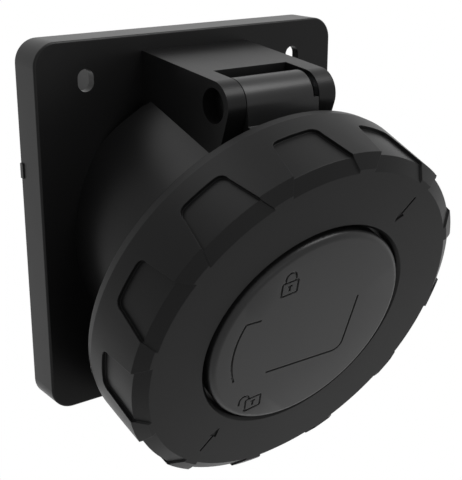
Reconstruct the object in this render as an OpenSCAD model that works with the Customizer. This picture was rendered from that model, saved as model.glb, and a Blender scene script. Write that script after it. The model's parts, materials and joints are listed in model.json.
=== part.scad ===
// Angled industrial panel socket with a hinged lid and a bayonet locking ring.
// Millimetres. +Z up, +X right, -Y out of the panel. The origin is the middle of
// the flange's back face, where it meets the panel.

/* [Flange] */
// Width of the mounting flange
flange_w = 110; // [106:1:120]
// Height of the mounting flange
flange_h = 114; // [112:1:124]
// How far the flange stands off the panel
flange_depth = 12; // [10:0.5:16]
// Radius of the flange's four corners
flange_corner_r = 7; // [5:0.5:10]
// Radius of the rounded front edge
flange_edge_r = 0.7; // [0.5:0.1:1.5]
// Thickness of the flange's skirt
skirt_t = 3.2; // [3:0.1:4]
// Thickness of the flange's front plate
plate_t = 3; // [2.5:0.1:4]
// Width of each fixing slot
slot_w = 5.3; // [4.5:0.1:6]
// Height of each fixing slot, end to end
slot_h = 6.7; // [6.5:0.1:9]
// Fixing slots, centre to centre across
slot_span_x = 77.4; // [76:0.1:80]
// Fixing slots, centre to centre up
slot_span_z = 90.4; // [89:0.1:92]
// Thickness of the seal behind the flange
flange_seal_t = 1.6; // [1.2:0.1:2]

/* [Neck and collar] */
// Downward tilt of the socket's axis
tilt = 20; // [19:0.5:21]
// Height of the tilted axis where it meets the panel
axis_z = 1.3; // [0.5:0.1:2]
// Radius of the neck where its full width starts
neck_r_back = 44.1; // [43:0.1:44.6]
// Distance along the axis where that full width starts
neck_step = 3; // [1:0.5:6]
// Radius of the narrower root of the neck
neck_root_r = 41.3; // [41.2:0.1:42.5]
// Radius of the neck at its front end
neck_r_front = 45.2; // [44.6:0.1:45.6]
// Distance of the neck's front end along the axis
neck_front = 44; // [43:0.5:44.5]
// Outer radius of the collar the ring grips
collar_r = 39.5; // [39.2:0.1:39.6]
// Bore the plug slides into
collar_bore_r = 34.8; // [34.6:0.1:35.4]
// Distance of the collar's rim along the axis
collar_front = 61.7; // [60.5:0.1:61.7]
// Width of the plug's key groove
key_w = 8; // [6:0.5:10]
// Depth of the plug's key groove
key_depth = 2.6; // [2:0.1:3]

/* [Hinge] */
// Pin distance in front of the panel
hinge_y = 48.3; // [48:0.1:48.6]
// Pin height above the middle of the flange
hinge_z = 41.3; // [41:0.1:41.6]
// Rounding of the ears and outer radius of the lid's knuckle
knuckle_r = 7; // [6.8:0.1:7.2]
// Half width of the hinge block
block_half_w = 19.4; // [19:0.1:20]
// Half width of the slot between the ears
ear_gap_half = 13.2; // [13:0.1:13.5]
// Distance of the slot's back wall in front of the panel
slot_back_y = 39.8; // [39:0.1:39.9]
// Fall of the block's top towards the front
block_fall = 6; // [4:0.5:8]
// Radius of the hole in the left ear
ear_hole_r = 5; // [4.6:0.1:5]
// Radius of the hinge pin
pin_r = 3; // [2.6:0.1:3.2]
// Depth of the pin's head inside the left ear
pin_recess = 4.2; // [3.5:0.1:4.4]

/* [Locking ring] */
// Rear face of the ring along the axis
ring_back = 46.85; // [46.6:0.05:47.2]
// Front face of the ring along the axis
ring_front = 71.2; // [71:0.1:73]
// Largest radius of the ring
ring_r = 58.6; // [58:0.1:60]
// Radius of the ring where its front chamfer starts
ring_r_front = 57.9; // [57.5:0.1:59]
// Outer radius of the ring's flat front face
ring_face_r = 54; // [53.8:0.1:55]
// Axial length of the front chamfer
ring_chamfer = 2.4; // [2:0.1:3]
// Radius of the hole in the ring's front wall
ring_hole_r = 34.9; // [34.7:0.1:36]
// Inner radius of the ring
ring_inner_r = 52.5; // [52.2:0.1:53]
// Thickness of the ring's front wall
ring_wall_t = 4; // [3.5:0.1:4.5]
// Number of grip recesses
recess_count = 12; // [8:1:12]
// Depth of each grip recess
recess_depth = 1.1; // [0.8:0.1:2]
// Half width of a recess at its narrow rear end
recess_half_rear = 7.4; // [6:0.1:8]
// Half width of a recess at the chamfer
recess_half_front = 9.8; // [9:0.1:10.4]
// Length of a recess back from the front face
recess_len = 16; // [12:0.1:18]
// Turn of the first recess from the top
recess_phase = 20; // [10:0.5:25]
// Inner radius of the two bayonet lugs
lug_r = 42.5; // [42.2:0.1:43]
// Angular width of each lug
lug_angle = 20; // [14:1:22]
// Thickness of each lug
lug_t = 3.4; // [3:0.1:3.6]

/* [Lid] */
// Radius of the round front disc
disc_r = 33.6; // [33:0.1:33.9]
// How far the disc stands proud of the ring
disc_proud = 0.6; // [0.4:0.1:1.5]
// Rounding of the disc's edge
disc_edge_r = 2; // [1:0.1:2.4]
// Radius of the plate that carries the ring
lid_plate_r = 52.1; // [51.6:0.1:52.1]
// Rear face of that plate along the axis
lid_plate_back = 63.4; // [63.2:0.1:64]
// Thickness of that plate
lid_plate_t = 2.8; // [2.4:0.1:2.8]
// Inner radius of the tongue that reaches back to the hinge
tongue_r_in = 47.3; // [47:0.1:48]
// Outer radius of the tongue
tongue_r_out = 51.2; // [50.8:0.1:51.4]
// Width of the line marks on the lid and the ring
mark_w = 0.7; // [0.5:0.1:1]
// Depth of those marks
mark_depth = 0.4; // [0.2:0.1:0.6]
// Cross section of the lid's seal
lid_seal_t = 2.4; // [2:0.1:2.6]

/* [Contacts] */
// Radius of the circle the contacts stand on
contact_circle_r = 18; // [17.5:0.1:18.5]
// Bore of a line or neutral contact
contact_bore_r = 4.05; // [3.5:0.05:4.2]
// Bore of the earth contact
earth_bore_r = 5.05; // [4.8:0.05:5.2]
// Bore of the pilot contact
pilot_bore_r = 3.05; // [2.5:0.05:3.2]
// Wall of every contact sleeve
sleeve_wall = 1.9; // [1.6:0.1:2]
// Radius of the insert that holds the contacts
insert_r = 29.3; // [28.5:0.1:29.6]
// Front face of the insert along the axis
insert_front = 61; // [58:0.5:61]
// Radius of the terminal block behind the panel
block_r = 38.3; // [37:0.1:38.4]
// Rear face of the terminal block, behind the panel
block_depth = 36; // [34:1:44]
// Radius of the screws in the terminals
clamp_screw_r = 2.5; // [2:0.1:2.6]

/* [Hidden] */
$fn = 96;
eps = 0.01;
joint_gap = 0.3;
fit_gap = 0.06;
slide_gap = 0.3;
lug_pos = 110;
ramp_rise = 1.1;
ramp_start = 88;
ramp_angle = 53;
lug_back = ring_back + 0.5;
ramp_back = lug_back + lug_t + slide_gap;
ramp_front = ramp_back + 4.6;
ramp_outer_r = neck_r_front - 0.8;
cavity_r = block_r + 0.7;
cavity_front = 35.2;
carrier_seal_t = 1.2;
carrier_flange_t = 4;
carrier_flange_r = cavity_r - 0.4;
carrier_back = cavity_front - carrier_seal_t - carrier_flange_t;
shoulder_r = insert_r + 0.5;
neck_start = -16;
pin_s = hinge_y * cos(tilt) - (hinge_z - axis_z) * sin(tilt);
pin_h = hinge_y * sin(tilt) + (hinge_z - axis_z) * cos(tilt);
recess_corner_r = 2.5;
recess_flare = 1.4;
boss_r = 3.6;
boss_x = 29;
boss_z = 35;
yoke_t = 3;
yoke_back = 1;
yoke_w = 2 * boss_x + 10;
yoke_h = 2 * boss_z + 9;
yoke_corner_r = 5;
carrier_screw_r = 1.8;
carrier_screw_len = 10;
carrier_screw_head_r = 3.4;
carrier_screw_head_t = 2.4;
seal_rebate = 1.2;
seal_w = 4;
seal_tab_z = 18.4;
seal_tab_h = 4.6;
seal_tab_out = 0.4;
knuckle_left = -ear_gap_half + joint_gap;
knuckle_right = ear_gap_half - 2.3;
arm_left = knuckle_left + 0.4;
arm_right = ear_gap_half - joint_gap;
arm_lean = 4.2;
spring_wire_r = 0.45;
spring_coil_r = 4.2;
spring_pitch = 0.95;
sleeve_front = 56;
sleeve_back = carrier_back + slide_gap;
sleeve_floor = 1.7;
sleeve_slit = 0.8;
pilot_front = sleeve_front - 10;
entry_gap = 0.1;
shank_r = 4.6;
terminal_half = 6.4;
terminal_len = 24;
terminal_back = -30;
wire_hole_r = 4.3;
wire_hole_len = 18;
screw_s = terminal_back + 9;
clamp_head_r = clamp_screw_r + 0.9;
clamp_len = 10;
clamp_reach = 1.1;
driver_slot_w = 1;
driver_slot_depth = 1.2;
pilot_terminal_r = 4.6;
pilot_screw_s = 2.9 - block_depth;
pilot_screw_r = 1.5;
pilot_wire_r = 2.2;
ring_bevel = 2.55;
ring_r_back = ring_r - 0.55;
hole_chamfer = 0.95;
washer_t = 0.7;
washer_r_out = lid_plate_r - 2.1;
washer_r_in = ring_hole_r + 2.1;
far = 2 * flange_w;
frame_half_z = 9.6;
frame_bottom = 12.4;
frame_right = 16.3;
frame_r = 27;
arrow_angle = 35.2;
arrow_tip_r = 39.6;
arrow_head_r = 43;
arrow_head_half = 1.5;
arrow_tail_r = 49;

// ---- helpers ----

// Carries its children into the tilted frame of the socket.
module tilted() {
  translate([0, 0, axis_z])
    rotate([tilt, 0, 0])
      children();
}

// Round bar along the socket's axis, from distance a to distance b.
module along(a, b, ra, rb) {
  translate([0, -a, 0])
    rotate([90, 0, 0])
      cylinder(h = b - a, r1 = ra, r2 = rb);
}

// Turned body about the socket's axis; the child is drawn as [radius, distance].
module turned(sweep = 360) {
  rotate([90, 0, 0])
    rotate_extrude(angle = sweep)
      children();
}

// Turns its children clockwise about the axis, as seen from the front.
module clock(a) {
  rotate([0, a, 0])
    children();
}

// Flat block with rounded corners, from the back face forward.
module rounded_block(w, h, r, t) {
  translate([-w / 2 + r, -t, -h / 2])
    cube([w - 2 * r, t, h]);
  translate([-w / 2, -t, -h / 2 + r])
    cube([w, t, h - 2 * r]);
  for (x = [-1, 1], z = [-1, 1])
    translate([x * (w / 2 - r), 0, z * (h / 2 - r)])
      rotate([90, 0, 0])
        cylinder(h = t, r = r);
}

// Bar along X, centred on the hinge pin.
module hinge_bar(x0, x1, r) {
  translate([x0, -hinge_y, hinge_z])
    rotate([0, 90, 0])
      cylinder(h = x1 - x0, r = r);
}

// ---- housing ----

module flange_solid() {
  flat_y = flange_depth - flange_edge_r;
  rounded_block(flange_w, flange_h, flange_corner_r, flat_y);
  rounded_block(flange_w - 2 * flange_edge_r, flange_h - 2 * flange_edge_r,
    flange_corner_r - flange_edge_r, flange_depth);
  for (x = [-1, 1])
    translate([x * (flange_w / 2 - flange_edge_r), -flat_y, -flange_h / 2 + flange_corner_r])
      cylinder(h = flange_h - 2 * flange_corner_r, r = flange_edge_r);
  for (z = [-1, 1])
    translate([-flange_w / 2 + flange_corner_r, -flat_y, z * (flange_h / 2 - flange_edge_r)])
      rotate([0, 90, 0])
        cylinder(h = flange_w - 2 * flange_corner_r, r = flange_edge_r);
  for (x = [-1, 1], z = [-1, 1])
    translate([x * (flange_w / 2 - flange_corner_r), -flat_y, z * (flange_h / 2 - flange_corner_r)])
      rotate([90, 0, 0])
        rotate_extrude()
          translate([flange_corner_r - flange_edge_r, 0])
            circle(r = flange_edge_r, $fn = 32);
}

module fixing_slot() {
  straight = slot_h - slot_w;
  for (z = [-1, 1])
    translate([0, 1, z * straight / 2])
      rotate([90, 0, 0])
        cylinder(h = flange_depth + 2, d = slot_w, $fn = 48);
  translate([-slot_w / 2, -flange_depth - 1, -straight / 2])
    cube([slot_w, flange_depth + 2, straight]);
}

module seal_shape(grow) {
  outer_w = flange_w - 2 * seal_rebate + 2 * grow;
  outer_h = flange_h - 2 * seal_rebate + 2 * grow;
  difference() {
    union() {
      rounded_block(outer_w, outer_h, flange_corner_r - seal_rebate + grow, flange_seal_t);
      translate([-flange_w / 2 - seal_tab_out, -flange_seal_t, seal_tab_z - seal_tab_h / 2 - grow])
        cube([seal_tab_out + 4, flange_seal_t, seal_tab_h + 2 * grow]);
    }
    translate([0, 1, 0])
      rounded_block(outer_w - 2 * seal_w, outer_h - 2 * seal_w, 3, flange_seal_t + 2);
  }
}

// Outline of the hinge block in the plane across the pin.
module block_outline() {
  top_y = hinge_y + knuckle_r * sin(block_fall);
  top_z = hinge_z + knuckle_r * cos(block_fall);
  back_y = flange_depth - plate_t;
  nose_y = hinge_y + knuckle_r * cos(tilt);
  nose_z = hinge_z - knuckle_r * sin(tilt);
  foot = 16;
  translate([-hinge_y, hinge_z])
    circle(r = knuckle_r);
  polygon([
    [-back_y, top_z + (top_y - back_y) * tan(block_fall)],
    [-top_y, top_z],
    [-nose_y, nose_z],
    [-nose_y + foot * sin(tilt), nose_z - foot * cos(tilt)],
    [-back_y, nose_z - foot * cos(tilt)]
  ]);
}

module hinge_block() {
  difference() {
    translate([-block_half_w, 0, 0])
      rotate([90, 0, 90])
        linear_extrude(height = 2 * block_half_w)
          block_outline();
    translate([-ear_gap_half, -slot_back_y - far, 0])
      cube([2 * ear_gap_half, far, far]);
  }
}

// The ramp's rear face leans, so that a lug is drawn in as the ring turns.
module bayonet_ramp() {
  middle = ramp_back + ramp_rise / 2;
  half_run = collar_r * sin(ramp_angle / 2);
  difference() {
    clock(ramp_angle / 2 - 90)
      turned(ramp_angle)
        translate([collar_r - 1, ramp_back - ramp_rise])
          square([ramp_outer_r - collar_r + 1, ramp_front - ramp_back + ramp_rise]);
    translate([0, -middle, 0])
      rotate([0, 0, -atan(ramp_rise / (2 * half_run))])
        translate([-far / 2, 0, 0])
          cube(far);
  }
}

module neck_outside() {
  intersection() {
    tilted() {
      along(neck_start, neck_step + 1, neck_root_r, neck_root_r);
      along(neck_step, neck_front, neck_r_back, neck_r_front);
      along(neck_front - 1, collar_front - 0.8, collar_r, collar_r);
      along(collar_front - 0.8, collar_front, collar_r, collar_r - 0.8);
      for (a = [0, 180])
        clock(a + ramp_start - ramp_angle / 2)
          bayonet_ramp();
    }
    translate([-far / 2, -far - flange_depth + plate_t, -far / 2])
      cube(far);
  }
}

module neck_inside() {
  tilted() {
    along(-50, cavity_front, cavity_r, cavity_r);
    along(cavity_front - eps, collar_front + 1, collar_bore_r, collar_bore_r);
    along(collar_front - 1, collar_front + eps, collar_bore_r, collar_bore_r + 1);
    translate([-key_w / 2, -collar_front - 1, -collar_bore_r - key_depth])
      cube([key_w, collar_front - cavity_front - 2, key_depth + 4]);
  }
}

module socket_housing() {
  color([0.035, 0.035, 0.038])
    difference() {
      union() {
        difference() {
          flange_solid();
          translate([0, eps, 0])
            rounded_block(flange_w - 2 * skirt_t, flange_h - 2 * skirt_t, flange_corner_r - skirt_t,
              flange_depth - plate_t + eps);
        }
        neck_outside();
        hinge_block();
        for (x = [-1, 1], z = [-1, 1])
          translate([x * boss_x, -yoke_back - yoke_t, z * boss_z])
            rotate([90, 0, 0])
              cylinder(h = flange_depth - plate_t - yoke_back - yoke_t + 1, r = boss_r);
      }
      neck_inside();
      for (x = [-1, 1], z = [-1, 1])
        translate([x * slot_span_x / 2, 0, z * slot_span_z / 2])
          fixing_slot();
      for (x = [-1, 1], z = [-1, 1])
        translate([x * boss_x, 1, z * boss_z])
          rotate([90, 0, 0])
            cylinder(h = carrier_screw_len + 1.5, r = carrier_screw_r);
      seal_shape(0);
      hinge_bar(-block_half_w - 1, -ear_gap_half + 1, ear_hole_r);
      hinge_bar(ear_gap_half - 1, block_half_w - 2, pin_r);
    }
}

module flange_seal() {
  color([0.05, 0.05, 0.052])
    seal_shape(0);
}

// ---- contact carrier and terminals ----

// Contact positions, clockwise from the top as seen from the front.
line_angles = [-108, -36, 36];
neutral_angle = 108;
earth_angle = 180;

module at_contact(a) {
  rotate([0, a, 0])
    translate([0, 0, contact_circle_r])
      children();
}

module contact_carrier() {
  pocket = slide_gap;
  color([0.06, 0.06, 0.065])
    tilted()
      difference() {
        union() {
          along(carrier_back, carrier_back + carrier_flange_t / 2, shoulder_r, shoulder_r);
          along(carrier_back, insert_front - 1, insert_r, insert_r);
          along(insert_front - 1, insert_front, insert_r, insert_r - 1);
        }
        for (a = [line_angles[0], line_angles[1], line_angles[2], neutral_angle])
          at_contact(a) {
            along(carrier_back - 1, sleeve_front + 0.5, contact_bore_r + sleeve_wall + pocket,
              contact_bore_r + sleeve_wall + pocket);
            along(sleeve_front, insert_front + 1, contact_bore_r + entry_gap,
              contact_bore_r + entry_gap);
          }
        at_contact(earth_angle) {
          along(carrier_back - 1, sleeve_front + 0.5, earth_bore_r + sleeve_wall + pocket,
            earth_bore_r + sleeve_wall + pocket);
          along(sleeve_front, insert_front + 1, earth_bore_r + entry_gap,
            earth_bore_r + entry_gap);
        }
        along(carrier_back - 1, pilot_front + 0.5, pilot_bore_r + sleeve_wall + pocket,
          pilot_bore_r + sleeve_wall + pocket);
        along(pilot_front, insert_front + 1, pilot_bore_r + entry_gap, pilot_bore_r + entry_gap);
      }
}

// Presses the insert's shoulder and the seal against the housing.
module carrier_ring() {
  color([0.06, 0.06, 0.065])
    tilted()
      difference() {
        along(carrier_back, carrier_back + carrier_flange_t, carrier_flange_r, carrier_flange_r);
        along(carrier_back - 1, carrier_back + carrier_flange_t + 1, insert_r + fit_gap,
          insert_r + fit_gap);
        along(carrier_back - 1, carrier_back + carrier_flange_t / 2, shoulder_r + fit_gap,
          shoulder_r + fit_gap);
      }
}

module carrier_seal() {
  color([0.045, 0.045, 0.047])
    tilted()
      difference() {
        along(cavity_front - carrier_seal_t, cavity_front, carrier_flange_r, carrier_flange_r);
        along(cavity_front - carrier_seal_t - 1, cavity_front + 1, collar_bore_r + 0.6,
          collar_bore_r + 0.6);
      }
}

module terminal_block() {
  shank_clear = 0.4;
  color([0.5, 0.5, 0.5])
    difference() {
      union() {
        tilted()
          along(-block_depth, carrier_back, block_r, block_r);
        translate([0, -yoke_back, 0])
          rounded_block(yoke_w, yoke_h, yoke_corner_r, yoke_t);
      }
      for (x = [-1, 1], z = [-1, 1])
        translate([x * boss_x, 1, z * boss_z])
          rotate([90, 0, 0])
            cylinder(h = 8, r = carrier_screw_r + 0.3);
      tilted() {
        for (a = [line_angles[0], line_angles[1], line_angles[2], neutral_angle, earth_angle])
          at_contact(a) {
            along(-10, carrier_back + 1, shank_r + shank_clear, shank_r + shank_clear);
            translate([-terminal_half - shank_clear, -terminal_back - terminal_len - shank_clear,
              -terminal_half - shank_clear])
              cube([2 * terminal_half + 2 * shank_clear, terminal_len + 2 * shank_clear,
                2 * terminal_half + 2 * shank_clear]);
            along(-block_depth - 1, terminal_back + 1, wire_hole_r + 1, wire_hole_r + 1);
            translate([0, -screw_s, 0])
              cylinder(h = block_r, r = clamp_head_r + 0.3);
          }
        along(-10, carrier_back + 1, pilot_bore_r + 0.8, pilot_bore_r + 0.8);
        along(-block_depth - 1, terminal_back + terminal_len + shank_clear,
          pilot_terminal_r + shank_clear, pilot_terminal_r + shank_clear);
        translate([0, -pilot_screw_s, 0])
          cylinder(h = block_r + 1, r = pilot_screw_r + 0.9);
      }
    }
}

module carrier_screws() {
  color([0.62, 0.63, 0.65])
    for (x = [-1, 1], z = [-1, 1])
      translate([x * boss_x, -yoke_back, z * boss_z])
        difference() {
          union() {
            rotate([90, 0, 0])
              cylinder(h = carrier_screw_len - 1, r = carrier_screw_r - fit_gap);
            rotate([-90, 0, 0])
              cylinder(h = carrier_screw_head_t, r = carrier_screw_head_r);
          }
          translate([-0.4, carrier_screw_head_t - driver_slot_depth, -2.2])
            cube([0.8, driver_slot_depth + 1, 4.4]);
          translate([-2.2, carrier_screw_head_t - driver_slot_depth, -0.4])
            cube([4.4, driver_slot_depth + 1, 0.8]);
        }
}

// Turned contact: split sleeve in front, shank, square terminal with wire hole.
module round_contact(bore_r) {
  outer_r = bore_r + sleeve_wall;
  difference() {
    union() {
      along(sleeve_back, sleeve_front - 0.6, outer_r, outer_r);
      along(sleeve_front - 0.6, sleeve_front, outer_r, outer_r - 0.6);
      along(terminal_back + terminal_len - 1, sleeve_back + 1, shank_r, shank_r);
      translate([-terminal_half, -terminal_back - terminal_len, -terminal_half])
        cube([2 * terminal_half, terminal_len, 2 * terminal_half]);
    }
    along(sleeve_back + sleeve_floor, sleeve_front + 1, bore_r, bore_r);
    translate([-sleeve_slit / 2, -sleeve_front - 1, -outer_r - 1])
      cube([sleeve_slit, 17, 2 * outer_r + 2]);
    // The groove for the ring spring that presses the split sleeve together.
    difference() {
      along(sleeve_front - 7, sleeve_front - 5, outer_r + 1, outer_r + 1);
      along(sleeve_front - 8, sleeve_front - 4, outer_r - 0.5, outer_r - 0.5);
    }
    along(terminal_back - 1, terminal_back + wire_hole_len, wire_hole_r, wire_hole_r);
    translate([0, -screw_s, 0])
      cylinder(h = terminal_half + 1, r = clamp_screw_r);
  }
}

module line_contact(a) {
  color([0.78, 0.62, 0.33])
    tilted()
      at_contact(a)
        round_contact(contact_bore_r);
}

module line_contact_1() {
  line_contact(line_angles[0]);
}

module line_contact_2() {
  line_contact(line_angles[1]);
}

module line_contact_3() {
  line_contact(line_angles[2]);
}

module neutral_contact() {
  line_contact(neutral_angle);
}

module earth_contact() {
  color([0.78, 0.62, 0.33])
    tilted()
      at_contact(earth_angle)
        round_contact(earth_bore_r);
}

module pilot_contact() {
  outer_r = pilot_bore_r + sleeve_wall;
  color([0.78, 0.62, 0.33])
    tilted()
      difference() {
        union() {
          along(sleeve_back, pilot_front, outer_r, outer_r);
          along(terminal_back + terminal_len - 1, sleeve_back + 1, pilot_bore_r + 0.4, pilot_bore_r + 0.4);
          along(0.5 - block_depth, terminal_back + terminal_len, pilot_terminal_r, pilot_terminal_r);
        }
        along(sleeve_back + sleeve_floor, pilot_front + 1, pilot_bore_r, pilot_bore_r);
        translate([-sleeve_slit / 2, -pilot_front - 1, -outer_r - 1])
          cube([sleeve_slit, 11, 2 * outer_r + 2]);
        along(-block_depth, terminal_back + 4, pilot_wire_r, pilot_wire_r);
        translate([0, -pilot_screw_s, 0])
          cylinder(h = pilot_terminal_r + 1, r = pilot_screw_r);
      }
}

// One steel ring lies in the groove of each split sleeve.
module sleeve_ring(bore_r) {
  inner_r = bore_r + sleeve_wall - 0.5 + 0.02;
  difference() {
    along(sleeve_front - 6.8, sleeve_front - 5.2, inner_r + 0.45, inner_r + 0.45);
    along(sleeve_front - 8, sleeve_front - 4, inner_r, inner_r);
  }
}

module sleeve_springs() {
  color([0.6, 0.61, 0.63])
    tilted() {
      for (a = [line_angles[0], line_angles[1], line_angles[2], neutral_angle])
        at_contact(a)
          sleeve_ring(contact_bore_r);
      at_contact(earth_angle)
        sleeve_ring(earth_bore_r);
    }
}

module clamp_screw() {
  difference() {
    union() {
      cylinder(h = clamp_len, r = clamp_screw_r - fit_gap);
      translate([0, 0, clamp_len - 3])
        cylinder(h = 3, r = clamp_head_r);
    }
    translate([-driver_slot_w / 2, -clamp_head_r - 1, clamp_len - driver_slot_depth])
      cube([driver_slot_w, 2 * clamp_head_r + 2, driver_slot_depth + 1]);
  }
}

module terminal_screws() {
  color([0.66, 0.66, 0.67])
    tilted() {
      for (a = [line_angles[0], line_angles[1], line_angles[2], neutral_angle, earth_angle])
        at_contact(a)
          translate([0, -screw_s, wire_hole_r - clamp_reach])
            clamp_screw();
      translate([0, -pilot_screw_s, pilot_wire_r - 0.4])
        difference() {
          union() {
            cylinder(h = 7, r = pilot_screw_r - fit_gap);
            translate([0, 0, 4])
              cylinder(h = 3, r = pilot_screw_r + 0.5);
          }
          translate([-0.4, -3, 6])
            cube([0.8, 6, 2]);
        }
    }
}

// A flat pad under each large screw spreads its load on the wire.
module clamp_plates() {
  pad_w = 4.8;
  pad_t = 0.8;
  pad_l = 6.4;
  color([0.66, 0.66, 0.67])
    tilted()
      for (a = [line_angles[0], line_angles[1], line_angles[2], neutral_angle, earth_angle])
        at_contact(a)
          translate([-pad_w / 2, -screw_s - pad_l / 2, wire_hole_r - clamp_reach - pad_t])
            cube([pad_w, pad_l, pad_t]);
}

// ---- hinge ----

module hinge_pin() {
  color([0.05, 0.05, 0.05]) {
    hinge_bar(-block_half_w + pin_recess, -ear_gap_half - 0.05, ear_hole_r - 0.02);
    hinge_bar(-ear_gap_half - 1, block_half_w - 2.2, pin_r - 0.02);
  }
}

module lid_spring() {
  first = knuckle_right + 0.75;
  leg = 8.3;
  leg_r = spring_wire_r - 0.04;
  color([0.58, 0.59, 0.61])
    translate([0, -hinge_y, hinge_z]) {
      for (i = [0, 1])
        translate([first + i * spring_pitch, 0, 0])
          rotate([0, 90, 0])
            rotate_extrude()
              translate([spring_coil_r, 0])
                circle(r = spring_wire_r, $fn = 20);
      translate([first, 0, -spring_coil_r])
        rotate([0, 90, 0])
          cylinder(h = spring_pitch, r = leg_r - 0.04, $fn = 20);
      translate([first + spring_pitch, 0, spring_coil_r])
        rotate([-90, 0, 0])
          cylinder(h = leg, r = leg_r, $fn = 20);
      translate([first, -spring_coil_r, 0])
        rotate([180, 0, 0])
          cylinder(h = 2.4, r = leg_r, $fn = 20);
    }
}

// ---- lid ----

module arm_outline() {
  front_s = pin_s + (knuckle_r - 0.03) * cos(tilt);
  front_h = pin_h + (knuckle_r - 0.03) * sin(tilt);
  polygon([
    [pin_s - 2, pin_h],
    [front_s, front_h],
    [front_s + arm_lean, tongue_r_out],
    [pin_s + 13, tongue_r_out],
    [pin_s + 13, tongue_r_in + 0.6],
    [pin_s + 3, tongue_r_in + 0.3],
    [pin_s - 2, pin_h - 5.6]
  ]);
}

module lid_arm() {
  translate([arm_left, 0, 0])
    rotate([90, 0, 90])
      linear_extrude(height = arm_right - arm_left)
        mirror([1, 0])
          arm_outline();
}

module tongue() {
  tongue_half = asin(arm_right / tongue_r_out);
  intersection() {
    rotate([0, -90 + tongue_half, 0])
      turned(2 * tongue_half)
        translate([tongue_r_in, pin_s + 5])
          square([tongue_r_out - tongue_r_in, lid_plate_back - pin_s - 4.8]);
    translate([arm_left, -lid_plate_back - 10, 0])
      cube([arm_right - arm_left, 80, 80]);
  }
}

// Line mark from one point of the disc to another, [across, up].
module mark_line(p, q) {
  len = norm(q - p);
  translate([p[0], p[1]])
    rotate(atan2(q[1] - p[1], q[0] - p[0]))
      translate([0, -mark_w / 2])
        square([len, mark_w]);
}

module mark_arc(cx, cy, r, a0, a1, steps) {
  for (i = [0 : steps - 1]) {
    b0 = a0 + (a1 - a0) * i / steps;
    b1 = a0 + (a1 - a0) * (i + 1) / steps;
    mark_line([cx + r * cos(b0), cy + r * sin(b0)], [cx + r * cos(b1), cy + r * sin(b1)]);
  }
}

module label_frame() {
  corner = 3;
  left_x = -sqrt(frame_r * frame_r - frame_half_z * frame_half_z);
  mark_line([frame_right, frame_half_z - 1], [frame_right, corner - frame_bottom]);
  mark_arc(frame_right - corner, corner - frame_bottom, corner, 0, -90, 4);
  mark_line([frame_right - corner, -frame_bottom], [-12.4, -frame_bottom]);
  mark_line([-20, frame_half_z], [left_x, frame_half_z]);
  mark_arc(0, 0, frame_r, 159, 207, 12);
}

// A closed padlock has its bow over the body; an open one has it swung to the left.
module padlock(open) {
  body_w = 5.4;
  body_h = 4.6;
  bow_r = 1.75;
  bow_x = open ? -body_w / 2 - 0.7 : 0;
  bow_z = open ? 0.3 : 1.6;
  left_end = open ? -1.2 : 0;
  mark_line([-body_w / 2, 0], [body_w / 2, 0]);
  mark_line([body_w / 2, 0], [body_w / 2, -body_h]);
  mark_line([body_w / 2, -body_h], [-body_w / 2, -body_h]);
  mark_line([-body_w / 2, -body_h], [-body_w / 2, 0]);
  mark_line([-0.8, -1.5], [0.8, -1.5]);
  mark_line([0, -1.5], [0, -3.4]);
  mark_line([bow_x - bow_r, left_end], [bow_x - bow_r, bow_z]);
  mark_line([bow_x + bow_r, bow_z], [bow_x + bow_r, 0]);
  mark_arc(bow_x, bow_z, bow_r, 0, 180, 6);
}

module lid_marks() {
  label_frame();
  translate([-13.2, 21.4])
    rotate(8)
      padlock(false);
  translate([-14.4, -21.6])
    rotate(8)
      padlock(true);
}

// Lays a flat drawing on a face at distance s along the axis and cuts it in.
module engrave(s) {
  translate([0, -s + mark_depth, 0])
    rotate([90, 0, 0])
      linear_extrude(height = mark_depth + 1)
        children();
}

module lid() {
  disc_front = ring_front + disc_proud;
  plate_front = lid_plate_back + lid_plate_t;
  inner_r = 31;
  color([0.04, 0.04, 0.043])
    difference() {
      union() {
        tilted() {
          along(lid_plate_back, plate_front, lid_plate_r, lid_plate_r);
          along(plate_front - 1, disc_front - disc_edge_r, disc_r, disc_r);
          along(disc_front - disc_edge_r - 1, disc_front, disc_r - disc_edge_r, disc_r - disc_edge_r);
          turned()
            translate([disc_r - disc_edge_r, disc_front - disc_edge_r])
              circle(r = disc_edge_r, $fn = 32);
          tongue();
          lid_arm();
        }
        hinge_bar(knuckle_left, knuckle_right, knuckle_r);
      }
      tilted() {
        along(lid_plate_back - 1, disc_front - 3, inner_r, inner_r);
        difference() {
          along(lid_plate_back - 1, lid_plate_back + 1, collar_r + 0.7, collar_r + 0.7);
          along(lid_plate_back - 2, lid_plate_back + 2, collar_bore_r - 0.3, collar_bore_r - 0.3);
        }
        engrave(disc_front)
          lid_marks();
      }
      hinge_bar(knuckle_left - 5, knuckle_right + 8, pin_r + fit_gap - 0.02);
      hinge_bar(knuckle_right, knuckle_right + 8, spring_coil_r + 1.3);
    }
}

module lid_seal() {
  seal_front = lid_plate_back + 1;
  color([0.05, 0.05, 0.052])
    tilted()
      difference() {
        along(seal_front - lid_seal_t, seal_front, collar_r + 0.6, collar_r + 0.6);
        along(seal_front - lid_seal_t - 1, seal_front + 1, collar_bore_r - 0.2, collar_bore_r - 0.2);
      }
}

module slip_washer() {
  plate_front = lid_plate_back + lid_plate_t;
  color([0.07, 0.07, 0.075])
    tilted()
      difference() {
        along(plate_front, plate_front + washer_t, washer_r_out, washer_r_out);
        along(plate_front - 1, plate_front + washer_t + 1, washer_r_in, washer_r_in);
      }
}

// ---- locking ring ----

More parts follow.
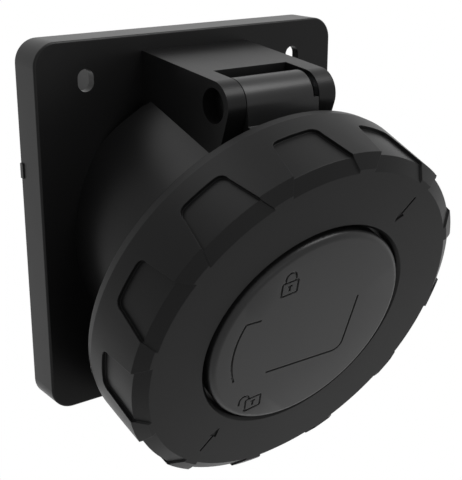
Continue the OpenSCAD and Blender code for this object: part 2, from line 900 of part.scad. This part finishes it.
module ring_outline(shrink) {
  chamfer_s = ring_front - ring_chamfer;
  polygon([
    [ring_inner_r, ring_back],
    [ring_r_back - shrink, ring_back],
    [ring_r - shrink, ring_back + ring_bevel],
    [ring_r_front - shrink, chamfer_s],
    [ring_face_r - shrink, ring_front],
    [ring_hole_r + hole_chamfer, ring_front],
    [ring_hole_r, ring_front - hole_chamfer],
    [ring_hole_r, ring_front - ring_wall_t],
    [ring_inner_r, ring_front - ring_wall_t]
  ]);
}

// Outline of one grip recess: [across, distance along the axis].
module recess_outline() {
  rear = ring_front - recess_len;
  knee = ring_front - 1.9;
  c = recess_corner_r;
  lean = atan((recess_half_front - recess_half_rear) / (knee - rear));
  cx = recess_half_rear - c * (1 - sin(lean)) / cos(lean);
  polygon(concat(
    [for (i = [0 : 4]) [cx + c * sin(i * (90 + lean) / 4), rear + c - c * cos(i * (90 + lean) / 4)]],
    [
      [recess_half_front, knee],
      [recess_half_front + recess_flare, ring_front + 0.3],
      [recess_half_front + recess_flare, ring_front + 5],
      [-recess_half_front - recess_flare, ring_front + 5],
      [-recess_half_front - recess_flare, ring_front + 0.3],
      [-recess_half_front, knee]
    ],
    [for (i = [4 : -1 : 0]) [-cx - c * sin(i * (90 + lean) / 4), rear + c - c * cos(i * (90 + lean) / 4)]]
  ));
}

module grip_recesses() {
  difference() {
    for (i = [0 : recess_count - 1])
      clock(recess_phase + i * 360 / recess_count)
        translate([0, 0, ring_inner_r - 3])
          mirror([0, 1, 0])
            linear_extrude(height = 12)
              recess_outline();
    turned()
      ring_outline(recess_depth);
  }
}

module direction_arrow() {
  polygon([
    [-mark_w / 2, arrow_tail_r],
    [mark_w / 2, arrow_tail_r],
    [mark_w / 2, arrow_head_r],
    [arrow_head_half, arrow_head_r],
    [0, arrow_tip_r],
    [-arrow_head_half, arrow_head_r],
    [-mark_w / 2, arrow_head_r]
  ]);
}

module locking_ring() {
  color([0.045, 0.045, 0.048])
    tilted()
      difference() {
        union() {
          difference() {
            turned()
              ring_outline(0);
            grip_recesses();
          }
          for (a = [lug_pos, lug_pos + 180])
            clock(a - 90 + lug_angle / 2)
              turned(lug_angle)
                translate([lug_r, lug_back])
                  square([ring_inner_r - lug_r + 1, lug_t]);
        }
        for (a = [arrow_angle, arrow_angle + 180])
          clock(a)
            engrave(ring_front)
              direction_arrow();
      }
}

socket_housing();
flange_seal();
contact_carrier();
carrier_ring();
carrier_seal();
terminal_block();
carrier_screws();
line_contact_1();
line_contact_2();
line_contact_3();
neutral_contact();
earth_contact();
pilot_contact();
sleeve_springs();
terminal_screws();
clamp_plates();
hinge_pin();
lid_spring();
lid();
lid_seal();
slip_washer();
locking_ring();
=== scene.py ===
import json
import math
import bpy
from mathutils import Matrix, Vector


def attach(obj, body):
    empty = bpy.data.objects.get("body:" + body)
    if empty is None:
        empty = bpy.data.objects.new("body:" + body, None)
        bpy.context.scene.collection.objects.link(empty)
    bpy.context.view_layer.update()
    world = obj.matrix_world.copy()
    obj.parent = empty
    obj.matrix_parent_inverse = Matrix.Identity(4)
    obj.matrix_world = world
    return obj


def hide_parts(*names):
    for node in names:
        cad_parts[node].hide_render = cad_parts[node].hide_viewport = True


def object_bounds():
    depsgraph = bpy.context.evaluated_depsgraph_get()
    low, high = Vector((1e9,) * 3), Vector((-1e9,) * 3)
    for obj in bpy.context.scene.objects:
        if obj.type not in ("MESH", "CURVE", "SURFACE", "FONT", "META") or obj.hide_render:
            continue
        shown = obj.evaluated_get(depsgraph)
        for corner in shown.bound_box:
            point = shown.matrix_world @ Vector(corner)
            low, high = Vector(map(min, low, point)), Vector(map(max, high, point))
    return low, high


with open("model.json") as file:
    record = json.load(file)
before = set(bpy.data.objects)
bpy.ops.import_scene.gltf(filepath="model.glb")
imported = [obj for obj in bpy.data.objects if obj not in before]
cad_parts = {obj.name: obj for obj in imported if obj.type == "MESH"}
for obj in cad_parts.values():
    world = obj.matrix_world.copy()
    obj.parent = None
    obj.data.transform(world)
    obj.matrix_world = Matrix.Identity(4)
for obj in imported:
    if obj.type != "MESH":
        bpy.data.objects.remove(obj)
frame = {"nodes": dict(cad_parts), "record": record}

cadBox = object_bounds()
nodes = frame["nodes"]
print("frame loaded:", len(nodes), "nodes")

bpy.ops.object.select_all(action="DESELECT")


# ---- camera ----

camera = {
    "place": (-0.1859, -0.2808, 0.0988),
    "heading": 36.34,   # degrees from +Y towards +X
    "down": 18.64,      # degrees below the horizon
    "lens": 78.99,
    "sensor": 36,
    "shift": (0.0096, 0.0007),
    "nearest": 0.01,
}

bpy.ops.object.camera_add(
    location=camera["place"],
    rotation=(math.radians(90 - camera["down"]), 0, math.radians(-camera["heading"])),
)
cameraObject = bpy.context.object
cameraObject.name = "viewCamera"
cameraObject.data.lens = camera["lens"]
cameraObject.data.sensor_width = camera["sensor"]
cameraObject.data.shift_x, cameraObject.data.shift_y = camera["shift"]
cameraObject.data.clip_start = camera["nearest"]
bpy.context.scene.camera = cameraObject
bpy.context.scene.view_settings.view_transform = "Standard"
print("camera placed")


# ---- light and floor ----

lampAim = (0.0, -0.03, 0.0)
lamps = {
    "keyLamp": {"place": (0.25, -0.30, 0.62), "size": 0.45, "watts": 4.6},
    "backLamp": {"place": (-0.19, 0.24, 0.60), "size": 0.35, "watts": 0.9},
    "frontLamp": {"place": (-0.15, -0.70, -0.05), "size": 0.50, "watts": 0.5},
}
worldLight = 0.5
floorSize, floorGap = 3, 0.001
floorColour, floorRoughness = (0.8, 0.8, 0.8, 1), 0.9
white = (1, 1, 1, 1)


def addLamp(name, place, size, watts):
    bpy.ops.object.light_add(type="AREA", location=place)
    lamp = bpy.context.object
    lamp.name = name
    lamp.data.energy = watts
    lamp.data.shape = "SQUARE"
    lamp.data.size = size
    dx, dy, dz = (lampAim[i] - place[i] for i in range(3))
    flat = math.hypot(dx, dy)
    lamp.rotation_euler = (math.atan2(flat, -dz), 0, math.atan2(dy, dx) - math.pi / 2)


for lampName, lampFacts in lamps.items():
    addLamp(lampName, **lampFacts)


def whiteToCamera(tree, seen, lit):
    # the white one for the camera, for reflections and through glass, else the lit one
    n, l = tree.nodes, tree.links
    path = n.new("ShaderNodeLightPath")
    looking = path.outputs["Is Camera Ray"]
    for ray in ("Is Glossy Ray", "Is Transmission Ray"):
        either = n.new("ShaderNodeMath")
        either.operation = "MAXIMUM"
        l.new(looking, either.inputs[0])
        l.new(path.outputs[ray], either.inputs[1])
        looking = either.outputs[0]
    mix = n.new("ShaderNodeMixShader")
    l.new(looking, mix.inputs[0])
    l.new(lit.outputs[0], mix.inputs[1])
    l.new(seen.outputs[0], mix.inputs[2])
    return mix


world = bpy.data.worlds.new("studioWorld")
bpy.context.scene.world = world
world.use_nodes = True
worldTree = world.node_tree
worldTree.nodes.clear()
worldOut = worldTree.nodes.new("ShaderNodeOutputWorld")
seenWorld = worldTree.nodes.new("ShaderNodeBackground")
seenWorld.inputs["Color"].default_value = white
seenWorld.inputs["Strength"].default_value = 1.0
litWorld = worldTree.nodes.new("ShaderNodeBackground")
litWorld.inputs["Color"].default_value = white
litWorld.inputs["Strength"].default_value = worldLight
worldMix = whiteToCamera(worldTree, seenWorld, litWorld)
worldTree.links.new(worldMix.outputs[0], worldOut.inputs["Surface"])

lowest = cadBox[0][2]
bpy.ops.mesh.primitive_plane_add(size=floorSize, location=(0, 0, lowest - floorGap))
floor = bpy.context.object
floor.name = "paleFloor"
print("lamps and floor set")


# ---- finishes ----

# edge is how far the shading softens an edge, in metres
finishes = {
    "housing_plastic": {
        "colour": (0.004, 0.004, 0.0041), "roughness": 0.34,
        "specular": 0.14, "grain": 0.05, "edge": 0.0,
    },
    "ring_plastic": {
        "colour": (0.004, 0.004, 0.0041), "roughness": 0.40,
        "specular": 0.12, "grain": 0.05, "edge": 0.0003,
    },
    "lid_plastic": {
        "colour": (0.010, 0.010, 0.0102), "roughness": 0.32,
        "specular": 0.22, "grain": 0.04, "edge": 0.0003,
    },
    "insert_plastic": {
        "colour": (0.030, 0.030, 0.032), "roughness": 0.42,
        "specular": 0.40, "grain": 0.03, "edge": 0.0003,
    },
    "rear_plastic": {
        "colour": (0.012, 0.012, 0.012), "roughness": 0.45,
        "specular": 0.20, "grain": 0.03, "edge": 0.0003,
    },
    "seal_rubber": {
        "colour": (0.010, 0.010, 0.010), "roughness": 0.45,
        "specular": 0.30, "grain": 0.08, "edge": 0.0,
    },
    "washer_plastic": {
        "colour": (0.10, 0.10, 0.11), "roughness": 0.35,
        "specular": 0.45, "grain": 0.0, "edge": 0.0,
    },
}
metals = {
    "contact_brass": {"colour": (0.78, 0.58, 0.28), "roughness": 0.28},
    "steel": {"colour": (0.62, 0.63, 0.65), "roughness": 0.32},
    "black_steel": {"colour": (0.02, 0.02, 0.02), "roughness": 0.40},
    "spring_steel": {"colour": (0.52, 0.53, 0.55), "roughness": 0.30},
}
mould = {
    "grainScale": 2600,
    "grainDetail": 2,
    "grainDepth": 0.0002,
    "patchScale": 45,
    "patchDetail": 3,
    "darker": 0.94,
    "lighter": 1.06,
    "roughnessSpread": 0.04,
    "edgeSamples": 6,
}
wear = {"scale": 160, "detail": 4, "roughnessSpread": 0.08}


def newMaterial(name):
    material = bpy.data.materials.new(name)
    material.use_nodes = True
    tree = material.node_tree
    return material, tree, tree.nodes["Principled BSDF"]


def addNoise(tree, coords, scale, detail):
    noise = tree.nodes.new("ShaderNodeTexNoise")
    noise.inputs["Scale"].default_value = scale
    noise.inputs["Detail"].default_value = detail
    tree.links.new(coords.outputs["Object"], noise.inputs["Vector"])
    return noise.outputs["Fac"]


def varyRoughness(tree, shader, noise, middle, spread):
    rough = tree.nodes.new("ShaderNodeMapRange")
    rough.inputs["To Min"].default_value = middle - spread
    rough.inputs["To Max"].default_value = middle + spread
    tree.links.new(noise, rough.inputs["Value"])
    tree.links.new(rough.outputs["Result"], shader.inputs["Roughness"])


def plasticMaterial(name, facts):
    # a fine mould grain, and broad faint patches as on handled plastic
    material, tree, shader = newMaterial(name)
    n, l = tree.nodes, tree.links
    coords = n.new("ShaderNodeTexCoord")
    grain = addNoise(tree, coords, mould["grainScale"], mould["grainDetail"])
    patches = addNoise(tree, coords, mould["patchScale"], mould["patchDetail"])
    shader.inputs["Specular IOR Level"].default_value = facts["specular"]
    tint = n.new("ShaderNodeMix")
    tint.data_type = "RGBA"
    for socket, shade in (("A", mould["darker"]), ("B", mould["lighter"])):
        tint.inputs[socket].default_value = (*(c * shade for c in facts["colour"]), 1)
    l.new(patches, tint.inputs["Factor"])
    l.new(tint.outputs["Result"], shader.inputs["Base Color"])
    varyRoughness(tree, shader, patches, facts["roughness"], mould["roughnessSpread"])
    bump = n.new("ShaderNodeBump")
    bump.inputs["Strength"].default_value = facts["grain"]
    bump.inputs["Distance"].default_value = mould["grainDepth"]
    l.new(grain, bump.inputs["Height"])
    if facts["edge"]:
        softEdge = n.new("ShaderNodeBevel")
        softEdge.samples = mould["edgeSamples"]
        softEdge.inputs["Radius"].default_value = facts["edge"]
        l.new(softEdge.outputs["Normal"], bump.inputs["Normal"])
    l.new(bump.outputs["Normal"], shader.inputs["Normal"])
    return material


def metalMaterial(name, facts):
    material, tree, shader = newMaterial(name)
    coords = tree.nodes.new("ShaderNodeTexCoord")
    shader.inputs["Base Color"].default_value = (*facts["colour"], 1)
    shader.inputs["Metallic"].default_value = 1.0
    smears = addNoise(tree, coords, wear["scale"], wear["detail"])
    varyRoughness(tree, shader, smears, facts["roughness"], wear["roughnessSpread"])
    return material


materials = {}
for slotName, facts in finishes.items():
    materials[slotName] = plasticMaterial(slotName, facts)
for slotName, facts in metals.items():
    materials[slotName] = metalMaterial(slotName, facts)

for part in frame["record"]["subparts"]:
    cadNode = nodes[part["node"]]
    for place in cadNode.material_slots:
        place.material = materials[part["material_slot"]]
print("finishes given")


# ---- lid ----

tilt = math.radians(20)
axisHeight = 0.0013
mergeWithin = 0.000002
armFix = {
    "edgeAcross": 0.0512,     # distance of the arm's lower front edge from the axis
    "edgeAlong": 0.04246,     # and along the axis
    "within": 0.0002,
    "shift": -0.0023,         # brings the face upright, so it runs on from the knuckle
}
discFix = {
    "root": 0.0668,           # where the disc leaves its plate, along the axis
    "flatRadius": 0.0314,     # the disc's flat face ends about here
    "wider": 0.0003,
    "prouder": 0.0009,
    "smoothTo": math.radians(24),
}


def axisCoords(point):
    # along the socket's axis, and up across it
    y, z = point[1], point[2] - axisHeight
    along = -y * math.cos(tilt) - z * math.sin(tilt)
    across = -y * math.sin(tilt) + z * math.cos(tilt)
    return along, across


def fromAxis(side, along, across):
    y = -along * math.cos(tilt) - across * math.sin(tilt)
    z = -along * math.sin(tilt) + across * math.cos(tilt)
    return side, y, z + axisHeight


def copyOfNode(name, newName):
    # a merged copy, so that moved points take all their faces along
    source = nodes[name]
    copy = source.copy()
    copy.data = source.data.copy()
    copy.name = newName
    copy.parent = None
    bpy.context.scene.collection.objects.link(copy)
    copy.matrix_world = source.matrix_world
    bpy.ops.object.select_all(action="DESELECT")
    copy.select_set(True)
    bpy.context.view_layer.objects.active = copy
    bpy.ops.object.transform_apply(location=True, rotation=True, scale=True)
    bpy.ops.mesh.customdata_custom_splitnormals_clear()
    bpy.ops.object.mode_set(mode="EDIT")
    bpy.ops.mesh.select_all(action="SELECT")
    bpy.ops.mesh.remove_doubles(threshold=mergeWithin)
    bpy.ops.mesh.select_all(action="DESELECT")
    bpy.ops.object.mode_set(mode="OBJECT")
    return copy


lidShape = copyOfNode("lid", "lidShape")
armPoints = discPoints = 0
for vertex in lidShape.data.vertices:
    along, across = axisCoords(vertex.co)
    side = vertex.co.x
    radius = math.hypot(side, across)
    offAlong = abs(along - armFix["edgeAlong"])
    offAcross = abs(across - armFix["edgeAcross"])
    if offAlong < armFix["within"] and offAcross < armFix["within"]:
        vertex.co = fromAxis(side, along + armFix["shift"], across)
        armPoints += 1
    elif along > discFix["root"]:
        grow = 1 + discFix["wider"] / radius if radius > discFix["flatRadius"] else 1
        vertex.co = fromAxis(side * grow, along + discFix["prouder"], across * grow)
        discPoints += 1
print("lid points moved:", armPoints, "on the arm,", discPoints, "on the disc")
bpy.ops.object.shade_smooth_by_angle(angle=discFix["smoothTo"])
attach(lidShape, "lid")
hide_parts("lid")
bpy.ops.object.select_all(action="DESELECT")


# ---- lid spring ----

# turned a little about the pin, so the open arm clears its long leg,
# which is cut shorter to end in front of the slot's back wall
springFix = {
    "pinY": -0.0483,
    "pinZ": 0.0413,
    "turn": math.radians(12),
    "legFrom": 0.008,         # what lies further back than this is the leg's end
    "legCut": 0.0009,
    "smoothTo": math.radians(40),
}
springShape = copyOfNode("lid_spring", "springShape")
turnCos, turnSin = math.cos(springFix["turn"]), math.sin(springFix["turn"])
legPoints = 0
for vertex in springShape.data.vertices:
    back, up = vertex.co.y - springFix["pinY"], vertex.co.z - springFix["pinZ"]
    if back > springFix["legFrom"]:
        back -= springFix["legCut"]
        legPoints += 1
    vertex.co.y = springFix["pinY"] + back * turnCos + up * turnSin
    vertex.co.z = springFix["pinZ"] - back * turnSin + up * turnCos
bpy.ops.object.shade_smooth_by_angle(angle=springFix["smoothTo"])
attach(springShape, "socket")
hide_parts("lid_spring")
bpy.ops.object.select_all(action="DESELECT")
print("spring turned, its leg cut at", legPoints, "points")


# ---- floor's finish ----

floorMaterial, floorTree, floorShader = newMaterial("floorWhite")
floorShader.inputs["Base Color"].default_value = floorColour
floorShader.inputs["Roughness"].default_value = floorRoughness
floorSeen = floorTree.nodes.new("ShaderNodeEmission")
floorSeen.inputs["Color"].default_value = white
floorMix = whiteToCamera(floorTree, floorSeen, floorShader)
floorOut = floorTree.nodes["Material Output"]
floorTree.links.new(floorMix.outputs[0], floorOut.inputs["Surface"])
floor.data.materials.append(floorMaterial)
